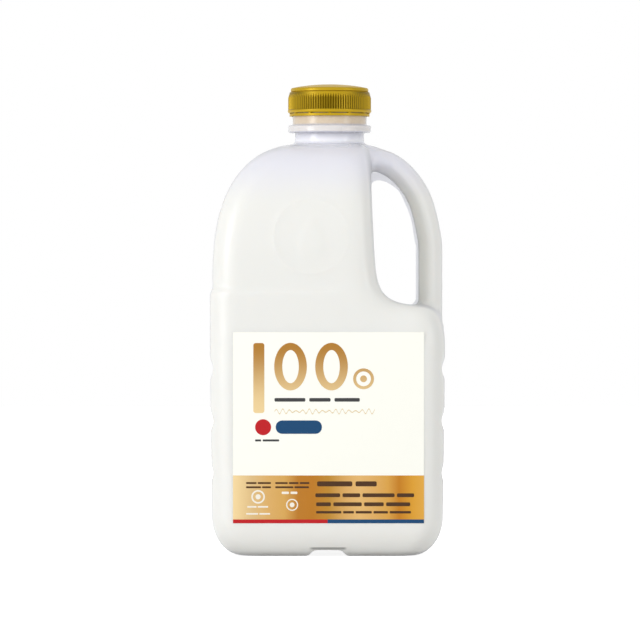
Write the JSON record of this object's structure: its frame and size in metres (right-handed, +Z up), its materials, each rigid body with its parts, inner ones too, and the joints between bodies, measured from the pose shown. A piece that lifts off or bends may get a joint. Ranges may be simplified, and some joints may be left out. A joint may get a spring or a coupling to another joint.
{
  "type": "plastic milk jug",
  "caption": "Two-litre plastic milk jug with a hollow side handle, a domed shoulder, a ribbed screw cap, a flush film label and milk inside.",
  "frame": {"origin": "middle of the base, on the surface that the jug stands on", "axes": "+Z up from the base to the cap, +X across the front towards the handle, -Y towards the front with the label"},
  "size_m": [0.118, 0.1084, 0.2378],
  "materials": {
    "jug": "natural, slightly translucent blow-moulded polyethylene",
    "milk": "opaque white liquid",
    "cap": "satin gold-coloured moulded plastic",
    "label": "printed film, cream with a gold band"
  },
  "bodies": {
    "root": {"jug": "jug", "milk": "milk", "cap": "cap", "label": "label"}
  },
  "joints": []
}
